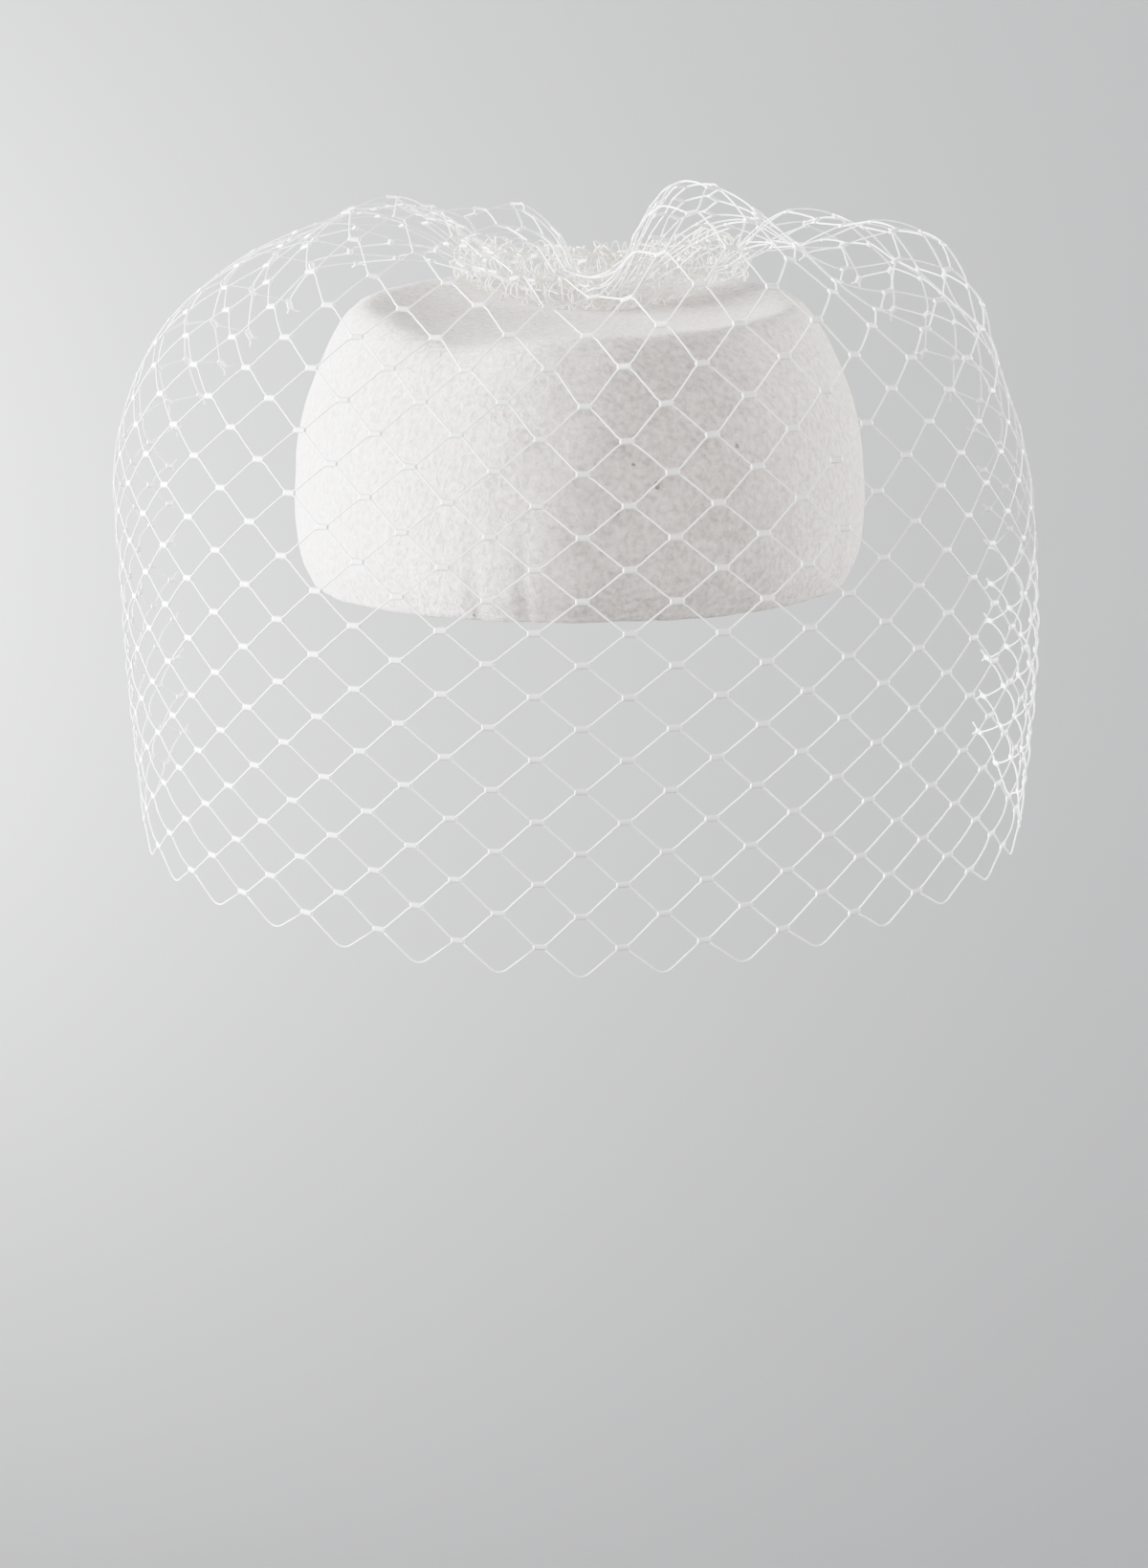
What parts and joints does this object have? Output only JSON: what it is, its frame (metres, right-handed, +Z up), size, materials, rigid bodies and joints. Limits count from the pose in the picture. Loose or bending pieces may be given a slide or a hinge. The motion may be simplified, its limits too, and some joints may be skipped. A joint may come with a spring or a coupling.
{
  "type": "pillbox hat with veil",
  "caption": "Oval felt pillbox hat, closed on top and open below, with a short coarse net veil gathered on its tip that puffs out and hangs over the face.",
  "frame": {"origin": "middle of the head opening, level with the rim, where the hat sits on a head", "axes": "+Z up through the crown, -Y towards the front where the veil hangs, +X to the right in a front view"},
  "size_m": [0.2798, 0.2312, 0.2058],
  "materials": {
    "wool_felt": "matt, fibrous wool felt",
    "veil_net": "fine stiff net with a soft sheen",
    "gathered_net": "the same net in many layers"
  },
  "bodies": {
    "root": {"felt_crown": "wool_felt", "veil_net": "veil_net", "veil_gather": "gathered_net"}
  },
  "joints": []
}
